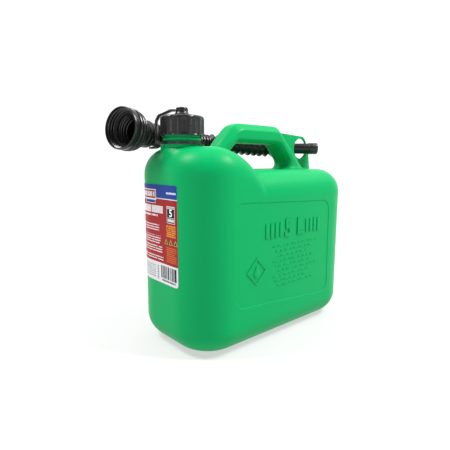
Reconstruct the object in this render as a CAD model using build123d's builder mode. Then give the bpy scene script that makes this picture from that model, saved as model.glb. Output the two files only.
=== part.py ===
"""Five litre blow-moulded fuel can with a screw cap on a tether and a flexible spout stowed beside the handle.

Origin: centre of the base, on the surface that the can stands on.
+X runs from the neck end to the tail end, +Y is the side the spout is stowed on, and +Z is up. Millimetres.
"""

import os
from math import cos, pi, radians, sin, sqrt, tan

from build123d import *

os.makedirs("parts", exist_ok=True)

# --- tank: driving dimensions -----------------------------------------------------------------------------
TANK_LENGTH = 250.0
TANK_WIDTH = 129.0
DECK_Z = 188.0  # the flat top under the handle
SHOULDER_Z = 212.0  # the raised top under the neck
WALL = 1.8
CORNER_R = 45.0  # upright corners, seen from above
BASE_EDGE_R = 28.0
DECK_EDGE_R = 29.0
SHOULDER_EDGE_R = 29.0
SHOULDER_BACK_R = 65.0  # the shoulder rolls down to the deck on this radius
SHOULDER_BACK_X = -89.5  # where that roll starts
SHOULDER_FOOT_Z = 90.0  # the shoulder's solid runs down inside the deck's to here
HALF_LENGTH = TANK_LENGTH / 2
HALF_WIDTH = TANK_WIDTH / 2

# --- neck -------------------------------------------------------------------------------------------------
NECK_X = -97.5
NECK_R = 18.4
NECK_BORE_R = 15.6
NECK_TOP_Z = 238.9
NECK_FOOT_Z = 195.0
BEAD_R = 19.7
BEAD_Z = (218.2, 220.4)
THREAD_PITCH = 5.0
NECK_THREAD_TURNS = 2.0
NECK_THREAD_Z = 225.5  # where the neck's thread starts
NECK_THREAD_DEPTH = 1.2
RIDGE_ROOT = 1.1  # half the height of a thread ridge where it leaves the wall
RIDGE_CREST = 0.5
RIDGE_SINK = 0.4  # how far a ridge's root is sunk into its wall
LUG_Z = (206.0, 213.6)
LUG_REACH = 22.4
LUG_WIDTH = 5.0
LUG_ANGLE = -38.0

# --- handle and tail fin ----------------------------------------------------------------------------------
HANDLE_HALF = 15.0
HANDLE_TOP_Z = 240.0
GRIP_TOP_Z = 218.0
OUTER_BEVEL = 7.5
GRIP_BEVEL = 4.0
PROFILE_R = 6.0  # the corners of the handle's side view
GRIP_FRONT = -254.0  # x minus z on a line inside the front leg
GRIP_TAIL = 262.0  # x plus z on a line inside the rear leg
HANDLE_ROOT_Z = 178.0  # the handle and the fin start inside the tank, below its deck
FIN_HALF = 1.5
FIN_CORNER_R = 9.0
FIN_HOLE_X = 95.0
FIN_HOLE_Z = 214.8
FIN_HOLE_R = 13.3

# --- cap --------------------------------------------------------------------------------------------------
CAP_R = 22.7
CAP_BOTTOM_Z = 222.6
CAP_TOP_Z = 242.6
CAP_BORE_R = 20.7
CAP_CEILING_Z = 240.5
CAP_EDGE = 2.0
CAP_THREAD_TURNS = 1.25
CAP_THREAD_Z = 228.4
CAP_THREAD_DEPTH = 1.5
GASKET_R = 20.3
GASKET_HOLE_R = 12.0
GASKET_Z = (239.0, 240.4)
FLUTES = 12
FLUTE_R = 7.0
FLUTE_DEPTH = 0.75
POST_R = 3.1
BOSS_R = 6.0
BOSS_Z = 247.3
EYELET_Z = (247.5, 249.1)
BUTTON_Z = (249.3, 251.4)
BUTTON_R = 5.2
EYELET_R = 6.4
EYELET_GAP = 0.3

# --- tether and spout holder ------------------------------------------------------------------------------
RING_Z = (214.2, 216.8)
RING_BORE_R = 18.8
RING_R = 20.8
CLOSURE = (4.4, 6.0, 3.6)  # out from the ring, along it, and high
TETHER_ANGLE = 131.0  # the side of the neck on which the tether rises, in degrees round from +X
TETHER_WIDTH = 8.0
TETHER_THICK = 1.4
TETHER_EYE_R = 8.4  # where the tether's top end meets the eyelet's tab
TETHER_OUT_R = 27.4  # how far out it bulges past the cap
TETHER_BROW_Z = 244.6  # its height where it turns down past the rim
TETHER_ROOT_R = 23.6  # where its bottom end meets the ring's tab

# --- spout ------------------------------------------------------------------------------------------------
BELL_MOUTH = Vector(-151.0, 31.0, 229.9)
BELL_TURN = 18.0  # degrees that the bell's axis turns away from +X, towards +Y
BELL_DROP = 6.0  # degrees that it falls towards the tail
BELL_R = 21.4
BELL_BORE_R = 19.9
BELL_SHELL = ((20.9, 12.5), (19.6, 17.0), (17.4, 21.5), (14.3, 26.0))  # its outside behind the band: radius, depth
BELL_SEAT = 12.0  # depth of the seat that the seal lies on
BELL_SEAT_R = 15.9
BELL_BAND = 6.5  # the smooth band round the mouth
BELL_GROOVES = ((21.2, 7.2), (20.8, 11.2), (19.8, 15.2), (18.0, 19.2))  # radius, depth
BELL_GROOVE = 0.7
BELL_GROOVE_WIDTH = 1.5
BELL_THREAD_TURNS = 1.25
BELL_THREAD_START = 2.6
BELL_THREAD_DEPTH = 1.2
SEAL_THICK = 1.6
THROAT_R = 14.3  # the wide throat behind the bell
THROAT_END = 40.0
COLLAR_R = 11.2  # the plain collar that the clip holds
COLLAR_START = 42.0
COLLAR_END = 57.0
THROAT_BORE = ((15.9, 17.0), (12.6, 25.0), (12.6, 38.0), (9.4, 41.0))  # the space inside: radius, depth
SPIGOT_BORE_R = 5.9
SPIGOT_R = 7.1
SPIGOT_LENGTH = 5.0
HOSE_R = 10.2
HOSE_ROOT_R = 8.2
HOSE_BORE_R = 7.2
HOSE_BEND_OUTER_R = 9.3  # its bends are plain, at its ribs' middle height
FINE_PITCH = 3.8  # its ribs are close together in the first stretch after the bell
FINE_RIBS = 18
COARSE_PITCH = 8.8
RIB_CREST = 0.8  # width of a rib's flat crest
HOSE_KNEE = 71.0  # the hose leaves the bell's axis this far from the mouth
HOSE_KNEE_2 = Vector(60.4, 29.0, 214.8)  # and turns here towards the fin's hole
HOSE_BEND_R = 30.0
HOSE_END_GAP = 0.2
TIP_R = 7.2
TIP_BORE_R = 5.7
TIP_COLLAR_R = 8.6
TIP_COLLAR = 4.0
TIP_BEYOND_FIN = 23.7

# --- spout clip on the neck ring --------------------------------------------------------------------------
CLIP_AT = 51.5  # distance of the clip from the bell's mouth, on the bell's axis
CLIP_WIDTH = 5.0
CLIP_GAP = 0.5
CLIP_WALL = 2.0
CLIP_ARM = 6.0
CLIP_STEM_WIDTH = 6.0
CLIP_STEM_SHARE = 0.75  # where the stem meets the clip, as a share of its inner radius

# --- front label and side panel ---------------------------------------------------------------------------
LABEL_Z = (72.0, 174.0)
LABEL_ARC = (-28.0, 46.0)  # its two upright edges, measured round the wall from the front's middle
LABEL_THICK = 0.25
LABEL_GLUE = 0.05
PANEL_CORNERS = ((-83.3, 157.0), (73.7, 151.1), (76.2, 36.0), (-79.0, 49.5))
PANEL_CORNER_R = 12.0
PANEL_DEPTH = 0.5


def shrunk_can(inset):
    """The tank's deck and shoulder as one solid, smaller by inset on every side."""
    with BuildPart() as deck:
        with BuildSketch(Plane.XY.offset(inset)):
            RectangleRounded(TANK_LENGTH - 2 * inset, TANK_WIDTH - 2 * inset, CORNER_R - inset)
        extrude(amount=DECK_Z - 2 * inset)
        fillet(deck.faces().sort_by(Axis.Z)[-1].edges(), DECK_EDGE_R - inset)
        fillet(deck.faces().sort_by(Axis.Z)[0].edges(), BASE_EDGE_R - inset)
    front = -HALF_LENGTH + inset
    top = SHOULDER_Z - inset
    roll = SHOULDER_BACK_R - inset
    tail = SHOULDER_BACK_X + roll
    with BuildPart() as shoulder:
        with BuildSketch(Plane.XZ):
            with BuildLine():
                Polyline((SHOULDER_BACK_X, top), (front, top), (front, SHOULDER_FOOT_Z), (tail, SHOULDER_FOOT_Z))
                Line((tail, SHOULDER_FOOT_Z), (tail, top - roll))
                RadiusArc((tail, top - roll), (SHOULDER_BACK_X, top), -roll)
            make_face()
        extrude(amount=HALF_WIDTH - inset, both=True)
        upright = shoulder.edges().filter_by(Axis.Z).group_by(Axis.X)[0]
        fillet(upright, CORNER_R - inset)
        rim = [
            e
            for e in shoulder.edges()
            if (e @ 0.5).Z > top - roll - 1 and not e.is_interior and e.geom_type != GeomType.BSPLINE
        ]
        rim = [e for e in rim if not (abs((e @ 0).Y + (e @ 1).Y) < 1e-6 and (e @ 0.5).X > SHOULDER_BACK_X - 1)]
        uprights = [e for e in shoulder.edges().filter_by(Axis.Z) if (e @ 0.5).X > tail - 1]
        fillet(rim + uprights, SHOULDER_EDGE_R - inset)
    with BuildPart() as can:
        add(deck.part)
        add(shoulder.part)
    return can.part


def handle_body(inset):
    """The handle and its two legs, smaller by inset on every side."""
    outer_bevel = OUTER_BEVEL - inset * (2 - sqrt(2))
    grip_bevel = GRIP_BEVEL - inset * (2 - sqrt(2))
    with BuildPart() as bar:
        with BuildSketch(Plane.XZ) as side_view:
            with BuildLine():
                Polyline(
                    (-93, HANDLE_ROOT_Z),
                    (-40.5, 230.5),
                    (-24, HANDLE_TOP_Z),
                    (40, HANDLE_TOP_Z),
                    (92.5, 189),
                    (92.5, HANDLE_ROOT_Z),
                    close=True,
                )
            make_face()
            with BuildLine():
                Polyline(
                    (-51, DECK_Z),
                    (-51, 198.5),
                    (-31.5, GRIP_TOP_Z),
                    (37.5, GRIP_TOP_Z),
                    (59, 196.5),
                    (55, DECK_Z),
                    close=True,
                )
            make_face(mode=Mode.SUBTRACT)
            rounded = [v for v in side_view.vertices() if v.Z > DECK_Z + 2]
            fillet(rounded, PROFILE_R)
            if inset:
                offset(amount=-inset, mode=Mode.REPLACE)
        extrude(amount=HANDLE_HALF - inset, both=True)
        sides = [e for e in bar.edges() if abs(abs((e @ 0.5).Y) - (HANDLE_HALF - inset)) < 1e-4]
        around_grip = [e for e in sides if on_grip(e @ 0.5)]
        outside = [e for e in sides if not on_grip(e @ 0.5) and (e @ 0.5).Z > DECK_Z + 2]
        chamfer(outside, outer_bevel)
        chamfer(around_grip, grip_bevel)
    return bar.part


def on_grip(point):
    """Whether a point of the handle's side view lies on the hand opening's edge."""
    top = point.Z < GRIP_TOP_Z + 4
    return top and point.X - point.Z > GRIP_FRONT and point.X + point.Z < GRIP_TAIL and point.Z > DECK_Z + 1


def ridge(radius, turns, start, depth):
    """A thread's ridge round the Z axis; a negative depth makes it stand inwards."""
    sink = -RIDGE_SINK if depth > 0 else RIDGE_SINK
    with BuildPart() as helical:
        with BuildLine() as path:
            Helix(pitch=THREAD_PITCH, height=THREAD_PITCH * turns, radius=radius, center=(0, 0, start))
        with BuildSketch(Plane(origin=path.line @ 0, x_dir=(1, 0, 0), z_dir=path.line % 0)):
            with BuildLine():
                Polyline(
                    (sink, -RIDGE_ROOT), (depth, -RIDGE_CREST), (depth, RIDGE_CREST), (sink, RIDGE_ROOT), close=True
                )
            make_face()
        sweep(path=path.line, is_frenet=True)
    return helical.part


def ribbed_side(length):
    """The hose's ribbed outside along a straight run: radius and distance, close ribs first and wide ones after."""
    pitches = [FINE_PITCH] * min(FINE_RIBS, int(length / FINE_PITCH))
    pitches += [COARSE_PITCH] * int((length - sum(pitches)) / COARSE_PITCH)
    along = (length - sum(pitches)) / 2
    side = [(HOSE_ROOT_R, 0.0)]
    for pitch in pitches:
        middle = along + pitch / 2
        side += [(HOSE_ROOT_R, middle - pitch / 2 + RIB_CREST / 2), (HOSE_R, middle - RIB_CREST / 2)]
        side += [(HOSE_R, middle + RIB_CREST / 2), (HOSE_ROOT_R, middle + pitch / 2 - RIB_CREST / 2)]
        along += pitch
    return [*side, (HOSE_ROOT_R, length)]


def tank_plan(grow):
    """The tank's outline seen from above, grown on every side."""
    RectangleRounded(TANK_LENGTH + 2 * grow, TANK_WIDTH + 2 * grow, CORNER_R + grow)


# --- tank -------------------------------------------------------------------------------------------------
with BuildPart() as tank:
    add(shrunk_can(0.0))
    add(handle_body(0.0))
    # The fin: two walls pinched together behind the handle.
    with BuildSketch(Plane.XZ) as fin_view:
        with BuildLine():
            Polyline(
                (44, 234),
                (103, 230.5),
                (112.5, 213.5),
                (117, 186),
                (118, HANDLE_ROOT_Z),
                (66, HANDLE_ROOT_Z),
                (66, 205),
                (44, 226),
                close=True,
            )
        make_face()
        fillet(fin_view.vertices().sort_by(Axis.X)[-4], FIN_CORNER_R)
    extrude(amount=FIN_HALF, both=True)
    # The neck, its bead and the two lugs that the tether's ring rests on.
    with BuildSketch(Plane.XY.offset(NECK_FOOT_Z)):
        with Locations((NECK_X, 0)):
            Circle(NECK_R)
    extrude(amount=NECK_TOP_Z - NECK_FOOT_Z)
    with BuildSketch(Plane.XY.offset(BEAD_Z[0])):
        with Locations((NECK_X, 0)):
            Circle(BEAD_R)
    extrude(amount=BEAD_Z[1] - BEAD_Z[0])
    with BuildSketch(Plane.XY.offset(LUG_Z[0])):
        with Locations((NECK_X, 0)):
            Rectangle(2 * LUG_REACH, LUG_WIDTH, rotation=LUG_ANGLE)
    extrude(amount=LUG_Z[1] - LUG_Z[0])
    with Locations((NECK_X, 0, 0)):
        add(ridge(NECK_R, NECK_THREAD_TURNS, NECK_THREAD_Z, NECK_THREAD_DEPTH))
    # Hollow inside: tank, handle and neck are one space.
    add(shrunk_can(WALL), mode=Mode.SUBTRACT)
    add(handle_body(WALL), mode=Mode.SUBTRACT)
    with BuildSketch(Plane.XY.offset(NECK_FOOT_Z - 4)):
        with Locations((NECK_X, 0)):
            Circle(NECK_BORE_R)
    extrude(amount=NECK_TOP_Z - NECK_FOOT_Z + 5, mode=Mode.SUBTRACT)
    with BuildSketch(Plane.XZ):
        with Locations((FIN_HOLE_X, FIN_HOLE_Z)):
            Circle(FIN_HOLE_R)
    extrude(amount=2 * FIN_HALF, both=True, mode=Mode.SUBTRACT)
    # The sunken panel in the wide side away from the spout.
    with BuildSketch(Plane.XZ.offset(HALF_WIDTH - PANEL_DEPTH)) as panel:
        with BuildLine():
            Polyline(*PANEL_CORNERS, close=True)
        make_face()
        fillet(panel.vertices(), PANEL_CORNER_R)
    extrude(amount=2 * PANEL_DEPTH, mode=Mode.SUBTRACT)

# --- front label ------------------------------------------------------------------------------------------
flat_half = HALF_WIDTH - CORNER_R
corner_x = -HALF_LENGTH + CORNER_R
right_turn = (-LABEL_ARC[0] - flat_half) / CORNER_R
left_turn = (LABEL_ARC[1] - flat_half) / CORNER_R
with BuildPart() as front_label:
    with BuildSketch(Plane.XY.offset(LABEL_Z[0])):
        tank_plan(LABEL_GLUE + LABEL_THICK)
        with BuildSketch(mode=Mode.SUBTRACT):
            tank_plan(LABEL_GLUE)
        with BuildSketch(mode=Mode.INTERSECT):
            reach = 2 * CORNER_R
            with BuildLine():
                Polyline(
                    (corner_x, -flat_half),
                    (corner_x - reach * cos(right_turn), -flat_half - reach * sin(right_turn)),
                    (corner_x - reach * cos(left_turn), flat_half + reach * sin(left_turn)),
                    (corner_x, flat_half),
                    close=True,
                )
            make_face()
    extrude(amount=LABEL_Z[1] - LABEL_Z[0])

# --- cap --------------------------------------------------------------------------------------------------
with BuildPart() as cap:
    with BuildSketch(Plane.XY.offset(CAP_BOTTOM_Z)):
        with Locations((NECK_X, 0)):
            Circle(CAP_R)
            with PolarLocations(CAP_R + FLUTE_R - FLUTE_DEPTH, FLUTES):
                Circle(FLUTE_R, mode=Mode.SUBTRACT)
    extrude(amount=CAP_TOP_Z - CAP_BOTTOM_Z)
    chamfer(cap.faces().sort_by(Axis.Z)[-1].edges(), CAP_EDGE)
    with BuildSketch(Plane.XY.offset(CAP_TOP_Z)):
        with Locations((NECK_X, 0)):
            Circle(BOSS_R)
    extrude(amount=BOSS_Z - CAP_TOP_Z)
    with BuildSketch(Plane.XY.offset(BOSS_Z)):
        with Locations((NECK_X, 0)):
            Circle(POST_R)
    extrude(amount=BUTTON_Z[0] - BOSS_Z)
    with BuildSketch(Plane.XY.offset(BUTTON_Z[0])):
        with Locations((NECK_X, 0)):
            Circle(BUTTON_R)
    extrude(amount=BUTTON_Z[1] - BUTTON_Z[0])
    with BuildSketch(Plane.XY.offset(CAP_BOTTOM_Z)):
        with Locations((NECK_X, 0)):
            Circle(CAP_BORE_R)
    extrude(amount=CAP_CEILING_Z - CAP_BOTTOM_Z, mode=Mode.SUBTRACT)
    with Locations((NECK_X, 0, 0)):
        add(ridge(CAP_BORE_R, CAP_THREAD_TURNS, CAP_THREAD_Z, -CAP_THREAD_DEPTH))

with BuildPart() as cap_gasket:
    with BuildSketch(Plane.XY.offset(GASKET_Z[0])):
        with Locations((NECK_X, 0)):
            Circle(GASKET_R)
            Circle(GASKET_HOLE_R, mode=Mode.SUBTRACT)
    extrude(amount=GASKET_Z[1] - GASKET_Z[0])

# --- tether: eyelet, strap, and the ring with the spout's clip --------------------------------------------
tether_plane = Plane(
    origin=(NECK_X, 0, 0),
    x_dir=(cos(radians(TETHER_ANGLE)), sin(radians(TETHER_ANGLE)), 0),
    z_dir=(sin(radians(TETHER_ANGLE)), -cos(radians(TETHER_ANGLE)), 0),
)
with BuildPart() as strap_eyelet:
    with BuildSketch(Plane.XY.offset(EYELET_Z[0])):
        with Locations((NECK_X, 0)):
            Circle(EYELET_R)
            with Locations(Location((0, 0, 0), TETHER_ANGLE)):
                with Locations((TETHER_EYE_R / 2, 0)):
                    Rectangle(TETHER_EYE_R, TETHER_WIDTH)
            Circle(POST_R + EYELET_GAP, mode=Mode.SUBTRACT)
    extrude(amount=EYELET_Z[1] - EYELET_Z[0])

with BuildPart() as cap_strap:
    with BuildSketch(tether_plane):
        with BuildLine():
            arch = FilletPolyline(
                (TETHER_EYE_R + 0.1, sum(EYELET_Z) / 2),
                (TETHER_EYE_R + 3, sum(EYELET_Z) / 2),
                (TETHER_OUT_R - 2.5, TETHER_BROW_Z),
                (TETHER_OUT_R, TETHER_BROW_Z - 6),
                (TETHER_OUT_R, sum(RING_Z) / 2),
                (TETHER_ROOT_R, sum(RING_Z) / 2),
                radius=2.0,
            )
        trace(arch, line_width=TETHER_THICK)
    extrude(amount=TETHER_WIDTH / 2, both=True)

bell_axis = Vector(1, 0, 0).rotate(Axis.Y, BELL_DROP).rotate(Axis.Z, BELL_TURN)
hole_centre = Vector(FIN_HOLE_X, 0, FIN_HOLE_Z)
tip_axis = (hole_centre - HOSE_KNEE_2).normalized()
slip = -tip_axis
clip_open = (slip - bell_axis * slip.dot(bell_axis)).normalized()
bell_plane = Plane(origin=BELL_MOUTH, x_dir=clip_open, z_dir=bell_axis)
clip_plane = bell_plane.offset(CLIP_AT)
clip_inner = COLLAR_R + CLIP_GAP
clip_outer = clip_inner + CLIP_WALL
with BuildPart() as neck_ring:
    with BuildSketch(Plane.XY.offset(RING_Z[0])):
        with Locations((NECK_X, 0)):
            Circle(RING_R)
            with Locations(Location((0, 0, 0), TETHER_ANGLE)):
                with Locations((TETHER_ROOT_R / 2, 0)):
                    Rectangle(TETHER_ROOT_R, TETHER_WIDTH)
        with BuildLine():
            stem_end = clip_plane.origin - clip_open * (CLIP_STEM_SHARE * clip_inner)
            stem = Line((NECK_X, 0), (stem_end.X, stem_end.Y))
        trace(stem, line_width=CLIP_STEM_WIDTH)
    extrude(amount=RING_Z[1] - RING_Z[0])
    with BuildSketch(clip_plane):
        Circle(clip_outer)
        with Locations((CLIP_ARM / 2, 0)):
            Rectangle(CLIP_ARM, 2 * clip_outer)
        with Locations((clip_outer / 2 + CLIP_ARM / 2, 0)):
            Rectangle(clip_outer - CLIP_ARM + 1, 4 * clip_outer, mode=Mode.SUBTRACT)
        Circle(clip_inner, mode=Mode.SUBTRACT)
        with Locations((clip_outer / 2, 0)):
            Rectangle(clip_outer, 2 * clip_inner, mode=Mode.SUBTRACT)
    extrude(amount=CLIP_WIDTH / 2, both=True)
    # The ring's snap closure.
    with BuildSketch(Plane.XY.offset(RING_Z[0])):
        with Locations((NECK_X, 0)):
            with Locations(Location((0, 0, 0), LUG_ANGLE)):
                with Locations((RING_R, 0)):
                    Rectangle(CLOSURE[0], CLOSURE[1])
    extrude(amount=CLOSURE[2])
    with BuildSketch(Plane.XY.offset(RING_Z[0] - 1)):
        with Locations((NECK_X, 0)):
            Circle(RING_BORE_R)
    extrude(amount=RING_Z[1] - RING_Z[0] + CLOSURE[2], mode=Mode.SUBTRACT)

# --- spout ------------------------------------------------------------------------------------------------
turning_plane = Plane(origin=BELL_MOUTH, x_dir=clip_open, z_dir=clip_open.cross(bell_axis))
with BuildPart() as spout_bell:
    with BuildSketch(turning_plane):
        with BuildLine():
            Polyline(
                (BELL_BORE_R, 0),
                (BELL_R, 0),
                (BELL_R, BELL_BAND),
                *BELL_SHELL,
                (THROAT_R, THROAT_END),
                (COLLAR_R, COLLAR_START),
                (COLLAR_R, COLLAR_END),
                (SPIGOT_R, COLLAR_END),
                (SPIGOT_R, COLLAR_END + SPIGOT_LENGTH),
                (SPIGOT_BORE_R, COLLAR_END + SPIGOT_LENGTH),
                (SPIGOT_BORE_R, COLLAR_END - SPIGOT_LENGTH),
                *reversed(THROAT_BORE),
                (BELL_SEAT_R, BELL_SEAT),
                (BELL_BORE_R, BELL_SEAT),
                close=True,
            )
        make_face()
        for radius, depth in BELL_GROOVES:
            with Locations((radius, depth + BELL_GROOVE_WIDTH / 2)):
                Rectangle(2 * BELL_GROOVE, BELL_GROOVE_WIDTH, mode=Mode.SUBTRACT)
    revolve(axis=Axis(BELL_MOUTH, bell_axis))
    with Locations(bell_plane):
        add(ridge(BELL_BORE_R, BELL_THREAD_TURNS, BELL_THREAD_START, -BELL_THREAD_DEPTH))

with BuildPart() as spout_seal:
    with BuildSketch(bell_plane.offset(BELL_SEAT - SEAL_THICK)):
        Circle(BELL_BORE_R - 0.1)
        Circle(BELL_SEAT_R, mode=Mode.SUBTRACT)
    extrude(amount=SEAL_THICK)

tip_end = hole_centre + tip_axis * TIP_BEYOND_FIN
hose_start = BELL_MOUTH + bell_axis * (COLLAR_END + HOSE_END_GAP)
knee = BELL_MOUTH + bell_axis * HOSE_KNEE
lane = (HOSE_KNEE_2 - knee).normalized()
bend_reach = HOSE_BEND_R * tan(lane.get_angle(tip_axis) / 2 * pi / 180)
hose_end = HOSE_KNEE_2 + tip_axis * (bend_reach + SPIGOT_LENGTH)
with BuildPart() as spout_hose:
    with BuildLine():
        route = FilletPolyline(hose_start, knee, HOSE_KNEE_2, hose_end, radius=HOSE_BEND_R)
    for stretch in route.edges():
        begin, heading = stretch @ 0, stretch % 0
        across = heading.cross(Vector(0, 0, 1)).normalized()
        if stretch.geom_type == GeomType.LINE:
            with BuildSketch(Plane(origin=begin, x_dir=across, z_dir=across.cross(heading))):
                with BuildLine():
                    Polyline((HOSE_BORE_R, 0), *ribbed_side(stretch.length), (HOSE_BORE_R, stretch.length), close=True)
                make_face()
            revolve(axis=Axis(begin, heading))
        else:
            with BuildSketch(Plane(origin=begin, x_dir=across, z_dir=heading)):
                Circle(HOSE_BEND_OUTER_R)
                Circle(HOSE_BORE_R, mode=Mode.SUBTRACT)
            sweep(path=stretch)

tip_start = hose_end + tip_axis * HOSE_END_GAP
with BuildPart() as spout_tip:
    with BuildSketch(Plane(origin=tip_start, z_dir=tip_axis)):
        Circle(TIP_COLLAR_R)
    extrude(amount=TIP_COLLAR)
    with BuildSketch(Plane(origin=tip_start, z_dir=tip_axis)):
        Circle(TIP_R)
    extrude(amount=(tip_end - tip_start).length)
    with BuildSketch(Plane(origin=tip_start, z_dir=tip_axis)):
        Circle(SPIGOT_R)
    extrude(amount=-SPIGOT_LENGTH)
    with BuildSketch(Plane(origin=tip_start - tip_axis * (SPIGOT_LENGTH + 1), z_dir=tip_axis)):
        Circle(TIP_BORE_R)
    extrude(amount=(tip_end - tip_start).length + SPIGOT_LENGTH + 2, mode=Mode.SUBTRACT)

# --- export -----------------------------------------------------------------------------------------------
for piece, label in (
    (tank, "tank"),
    (front_label, "front_label"),
    (cap, "cap"),
    (cap_gasket, "cap_gasket"),
    (strap_eyelet, "strap_eyelet"),
    (cap_strap, "cap_strap"),
    (neck_ring, "neck_ring"),
    (spout_bell, "spout_bell"),
    (spout_seal, "spout_seal"),
    (spout_hose, "spout_hose"),
    (spout_tip, "spout_tip"),
):
    piece.part.label = label
    export_step(piece.part, f"parts/{label}.step")
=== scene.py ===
from math import atan2, cos, hypot, pi, radians, sin, sqrt, tan

import bmesh
import bpy
from mathutils import Matrix, Vector


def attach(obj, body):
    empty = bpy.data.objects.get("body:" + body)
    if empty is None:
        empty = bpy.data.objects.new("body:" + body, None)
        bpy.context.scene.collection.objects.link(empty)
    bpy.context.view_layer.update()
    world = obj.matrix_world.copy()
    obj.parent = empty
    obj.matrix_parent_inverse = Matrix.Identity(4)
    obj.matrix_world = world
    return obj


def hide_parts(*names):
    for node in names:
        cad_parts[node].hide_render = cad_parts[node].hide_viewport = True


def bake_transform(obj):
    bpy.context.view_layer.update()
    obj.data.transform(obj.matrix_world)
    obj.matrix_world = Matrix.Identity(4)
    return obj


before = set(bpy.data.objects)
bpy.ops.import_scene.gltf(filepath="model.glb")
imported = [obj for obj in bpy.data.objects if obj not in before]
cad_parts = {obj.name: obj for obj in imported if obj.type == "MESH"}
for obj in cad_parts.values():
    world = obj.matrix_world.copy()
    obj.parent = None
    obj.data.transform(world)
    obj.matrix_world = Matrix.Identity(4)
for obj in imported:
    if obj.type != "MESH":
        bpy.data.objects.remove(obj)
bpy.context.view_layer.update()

MM = 0.001
POINT_R = 0.001  # the ring, in millimetres, that is merged into a point

# --- the can's main sizes, in millimetres -----------------------------------------------------------------
HALF_LENGTH, HALF_WIDTH, DECK_Z, SHOULDER_Z = 125.0, 64.5, 188.0, 212.0
CORNER_R, BASE_R, DECK_R, SHOULDER_R = 45.0, 28.0, 29.0, 29.0
SHOULDER_FOOT, SHOULDER_END_X = 90.0, 8.0  # the shoulder's block, sunk into the deck's
ROLL_X, ROLL_R, ROLL_REACH = -89.5, 65.0, 62.0  # where the shoulder's roll starts, its radius and length
HANDLE_HALF, GRIP_HALF, HANDLE_FOOT = 15.0, 11.0, 178.0
NECK_X, NECK_R, NECK_BORE = -97.5, 18.4, 15.6
ON_NECK = Matrix.Translation((NECK_X * MM, 0, 0))
THREAD_PITCH, THREAD_CREST, THREAD_FOOT = 5.0, 0.45, 1.15  # crest and foot are half the rib's width there
THREAD_RUN_OUT = 0.06  # the turns in which a thread rises and fades
NECK_THREAD_Z, NECK_THREAD_TURNS, NECK_THREAD_DEPTH = 225.5, 2.0, 1.2
CAP_R, CAP_BORE = 22.7, 20.7
CAP_THREAD_Z, CAP_THREAD_TURNS, CAP_THREAD_DEPTH = 228.4, 1.25, 1.3
FIN_HOLE_R, FIN_HALF = 13.3, 1.5
LABEL_ARC, LABEL_Z = (-28.0, 46.0), (72.0, 174.0)
PANEL = ((-83.3, 157.0), (73.7, 151.1), (76.2, 36.0), (-79.0, 49.5))
PANEL_DEPTH = 0.55
PANEL_Y = HALF_WIDTH - PANEL_DEPTH
HOLE_CENTRE = Vector((95.0, 0.0, 214.8))
BELL_MOUTH = Vector((-151.0, 31.0, 229.9))
BELL_AXIS = Vector((0.94585, 0.30732, -0.10453)).normalized()
KNEE_2 = Vector((60.4, 29.0, 214.8))
TIP_AXIS = (HOLE_CENTRE - KNEE_2).normalized()
HOSE_START, HOSE_KNEE, HOSE_BEND = 57.2, 71.0, 30.0
TIP_BEYOND = 23.7  # how far the tip passes the fin's hole
TETHER_ANGLE = 131.0


# --- shader maths -----------------------------------------------------------------------------------------
class Wire:
    """A shader socket that takes + - * % and comparisons, so that a pattern reads as an expression."""

    def __init__(self, tree, socket):
        self.tree, self.socket = tree, socket

    def node(self, kind, settings=None, out=0, **values):
        """Adds any node: its settings first, then its sockets' values or links, named or numbered as i0."""
        made = self.tree.nodes.new(kind)
        for key, value in (settings or {}).items():
            setattr(made, key, value)
        for key, value in values.items():
            numbered = key[0] == "i" and key[1:].isdigit()
            plug = made.inputs[int(key[1:]) if numbered else key.replace("_", " ")]
            if isinstance(value, Wire):
                self.tree.links.new(value.socket, plug)
            else:
                plug.default_value = value
        return Wire(self.tree, made.outputs[out])

    def maths(self, operation, *terms):
        sockets = {f"i{n}": term for n, term in enumerate(terms)}
        return self.node("ShaderNodeMath", {"operation": operation}, **sockets)

    def __add__(self, other):
        return self.maths("ADD", self, other)

    def __radd__(self, other):
        return self.maths("ADD", other, self)

    def __sub__(self, other):
        return self.maths("SUBTRACT", self, other)

    def __rsub__(self, other):
        return self.maths("SUBTRACT", other, self)

    def __mul__(self, other):
        return self.maths("MULTIPLY", self, other)

    def __rmul__(self, other):
        return self.maths("MULTIPLY", other, self)

    def __gt__(self, other):
        return self.maths("GREATER_THAN", self, other)

    def __lt__(self, other):
        return self.maths("LESS_THAN", self, other)

    def __mod__(self, other):
        return self.maths("FLOORED_MODULO", self, other)

    def __abs__(self):
        return self.maths("ABSOLUTE", self)

    def high(self, other):
        return self.maths("MAXIMUM", self, other)

    def part(self, which):
        """The X, Y or Z of a vector."""
        return self.node("ShaderNodeSeparateXYZ", out=which, i0=self)

    def noise(self, scale, detail=3.0, rough=0.5, stretch=(1.0, 1.0, 1.0)):
        """Noise of about this many cells per metre, read from Object coordinates."""
        place = self.node("ShaderNodeMapping", Vector=self, Scale=stretch)
        return self.node("ShaderNodeTexNoise", Vector=place, Scale=scale, Detail=detail, Roughness=rough)

    def tint(self, one, other):
        """A colour between one and other, at this share of other."""
        made = self.node("ShaderNodeMix", {"data_type": "RGBA"}, out=2, i0=self)
        mix = made.socket.node
        for value, plug in ((one, mix.inputs[6]), (other, mix.inputs[7])):
            if isinstance(value, Wire):
                self.tree.links.new(value.socket, plug)
            else:
                plug.default_value = (*value, 1.0)
        return made


def finish_of(name, specular):
    """A new material with this much shine, and its tree, shader and Object coordinates."""
    finish = bpy.data.materials.new(name)
    finish.use_nodes = True
    tree = finish.node_tree
    shader = tree.nodes["Principled BSDF"]
    shader.inputs["Specular IOR Level"].default_value = specular
    place = tree.nodes.new("ShaderNodeTexCoord")
    return finish, tree, shader, Wire(tree, place.outputs["Object"])


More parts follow.
